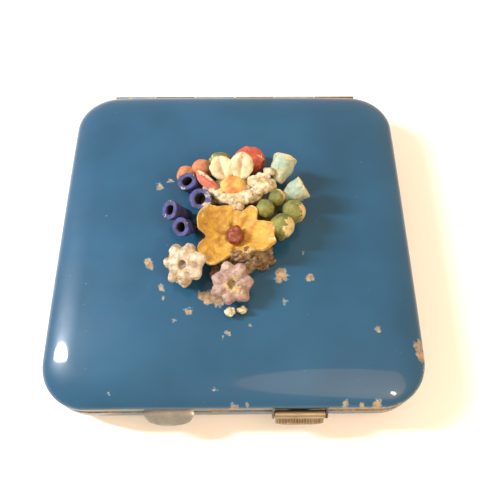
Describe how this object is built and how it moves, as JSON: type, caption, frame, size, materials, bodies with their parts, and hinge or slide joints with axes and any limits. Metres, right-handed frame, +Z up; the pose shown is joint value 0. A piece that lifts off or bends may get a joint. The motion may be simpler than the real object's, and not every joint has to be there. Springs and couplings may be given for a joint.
{
  "type": "double powder compact",
  "caption": "Square enamelled double powder compact: hinged lid with a raised flower posy and mirror, hinged inner lid with rouge, powder well below, thumb catches in front.",
  "frame": {"origin": "centre of the flat underside that the compact rests on", "axes": "+Z up through the lid, +Y towards the hinge at the back, +X to the right seen from the front"},
  "size_m": [0.07, 0.0741, 0.0223],
  "materials": {
    "blue_enamel": "glossy baked enamel, scratched",
    "nickel_plate": "worn nickel plate",
    "spring_steel": "drawn steel wire",
    "worn_brass": "tarnished brass",
    "gilt_tin": "gilt tinplate",
    "pressed_powder": "matt pressed powder",
    "pressed_rouge": "matt pressed rouge",
    "velour": "soft velour pile",
    "silvered_glass": "silvered plate glass",
    "backing_card": "plain pulp card",
    "bare_plaster": "dusty bare plaster",
    "cream_paint": "chalky cream paint on plaster",
    "lilac_paint": "chalky lilac paint on plaster",
    "orange_paint": "matt orange paint on plaster",
    "yellow_paint": "matt yellow paint on plaster",
    "red_glaze": "varnished dark red",
    "coral_paint": "matt coral paint on plaster",
    "green_paint": "matt green paint on plaster",
    "aqua_paint": "matt aqua paint on plaster",
    "cobalt_paint": "matt cobalt paint on plaster"
  },
  "bodies": {
    "base": {"base_shell": "blue_enamel", "base_frame": "nickel_plate", "base_hinge_leaf": "worn_brass", "hinge_pin": "spring_steel", "powder_well": "gilt_tin", "powder_cake": "pressed_powder", "powder_puff": "velour"},
    "inner_leaf": {"inner_lid": "nickel_plate", "inner_tab": "nickel_plate", "rouge_pan": "gilt_tin", "rouge_cake": "pressed_rouge", "rouge_puff": "velour"},
    "lid": {"lid_shell": "blue_enamel", "mirror_frame": "nickel_plate", "lid_mirror": "silvered_glass", "mirror_backing": "backing_card", "catch_pin": "spring_steel", "catch_spring": "spring_steel", "plaster_mound": "bare_plaster", "paste_crumbs": "bare_plaster", "daisy_petals": "cream_paint", "daisy_centre": "orange_paint", "yellow_petals": "yellow_paint", "yellow_centre": "red_glaze", "bell_flower_1": "cobalt_paint", "bell_flower_2": "cobalt_paint", "bell_flower_3": "cobalt_paint", "bell_flower_4": "cobalt_paint", "berry_1": "green_paint", "berry_2": "green_paint", "berry_3": "green_paint", "berry_4": "green_paint", "tube_flower_1": "aqua_paint", "tube_flower_2": "aqua_paint", "floret_1": "cream_paint", "floret_2": "lilac_paint", "red_bud": "coral_paint", "green_bud": "green_paint", "orange_bud_1": "orange_paint", "orange_bud_2": "orange_paint"},
    "catch": {"lid_catch": "nickel_plate"}
  },
  "joints": [
    {"name": "lid_hinge", "type": "hinge", "parent": "base", "child": "lid", "pos_m": [0, 0.0357, 0.0085], "axis": [-1, 0, 0], "range_deg": [0, 110]},
    {"name": "inner_lid_hinge", "type": "hinge", "parent": "base", "child": "inner_leaf", "pos_m": [0, 0.0357, 0.0085], "axis": [-1, 0, 0], "range_deg": [0, 55]},
    {"name": "catch_pivot", "type": "hinge", "parent": "lid", "child": "catch", "pos_m": [0.0117, -0.03575, 0.0084], "axis": [-1, 0, 0], "range_deg": [0, 25], "stiffness_Nm_per_rad": 0.0004, "springref_deg": -5.73}
  ],
  "couplings": [
    {"joint": "inner_lid_hinge", "follows": "lid_hinge", "ratio": 0.5}
  ]
}
